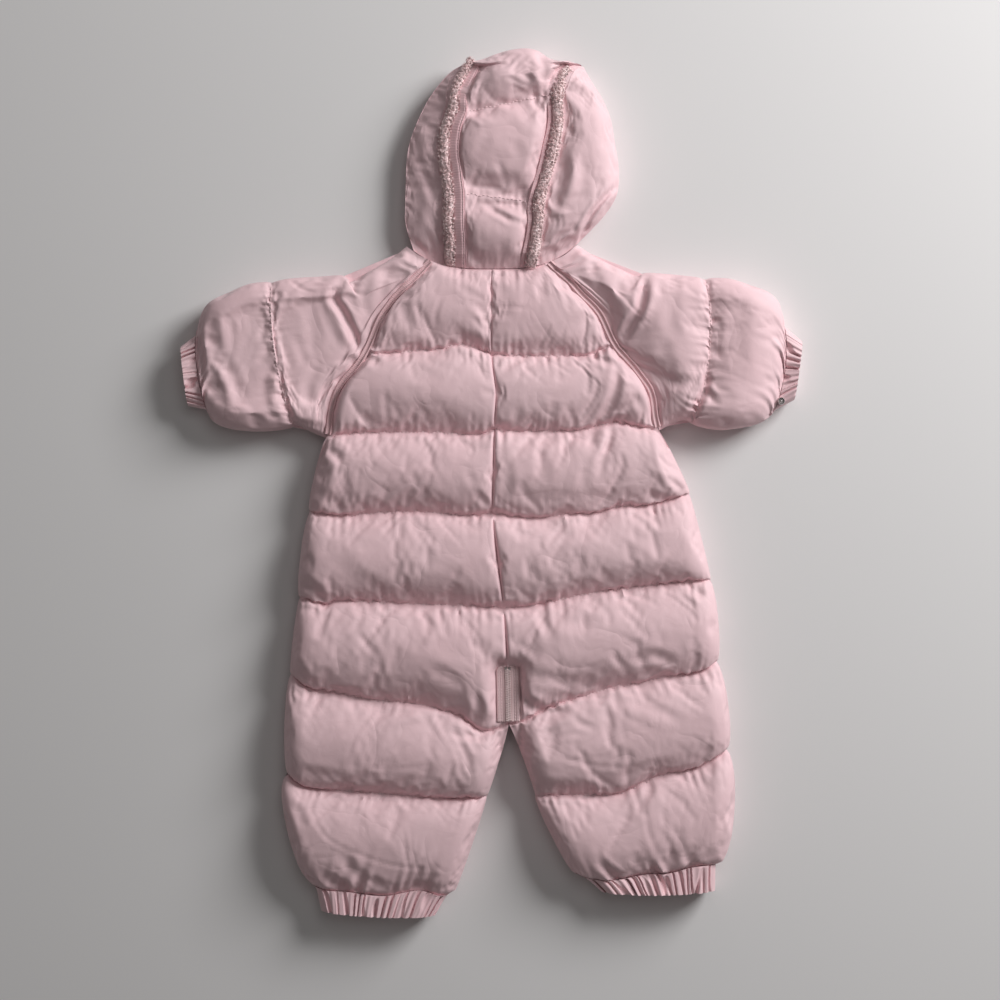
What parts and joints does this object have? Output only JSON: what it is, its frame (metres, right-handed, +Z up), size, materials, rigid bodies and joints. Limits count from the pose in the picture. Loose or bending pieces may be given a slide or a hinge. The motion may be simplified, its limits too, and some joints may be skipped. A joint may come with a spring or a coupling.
{
  "type": "baby snowsuit",
  "caption": "Quilted, padded one-piece baby snowsuit with hood, gathered cuffs and a long zip, lying flat on its front.",
  "frame": {"origin": "centre of the footprint, on the surface that the suit lies on", "axes": "+Z up, away from the surface and out of the suit's back; +Y towards the top of the hood; +X to the right as seen from above"},
  "size_m": [0.511, 0.7128, 0.0391],
  "materials": {
    "shell_cloth": "soft satin weave",
    "cuff_cloth": "soft satin weave, gathered",
    "ribbed_tape": "matte ribbed weave",
    "flange_cloth": "flat matte weave",
    "sherpa_pile": "curled pile",
    "zip_tape": "matte woven tape",
    "zip_teeth": "satin",
    "slider_metal": "satin plated",
    "snap_metal": "satin plated"
  },
  "bodies": {
    "suit": {"back_left": "shell_cloth", "front_left": "shell_cloth", "back_right": "shell_cloth", "front_right": "shell_cloth", "sleeve_left": "shell_cloth", "sleeve_right": "shell_cloth", "cuff_arm_left": "cuff_cloth", "cuff_arm_right": "cuff_cloth", "cuff_leg_left": "cuff_cloth", "cuff_leg_right": "cuff_cloth", "hood_centre": "shell_cloth", "hood_side_left": "shell_cloth", "hood_side_right": "shell_cloth", "hood_flange_left": "flange_cloth", "hood_fur_left": "sherpa_pile", "hood_flange_right": "flange_cloth", "hood_fur_right": "sherpa_pile", "raglan_tape_left": "ribbed_tape", "raglan_tape_right": "ribbed_tape", "zip_tape_back": "zip_tape", "zip_chain_back": "zip_teeth", "zip_tape_front": "zip_tape", "zip_chain_front": "zip_teeth", "zip_slider": "slider_metal", "snap_cuff_right": "snap_metal"},
    "zip_pull": {"zip_pull": "slider_metal"}
  },
  "joints": [
    {"name": "zip_pull_swing", "type": "hinge", "parent": "suit", "child": "zip_pull", "pos_m": [0, 0.15, 0.002], "axis": [1, 0, 0], "range_deg": [0, 180]}
  ]
}
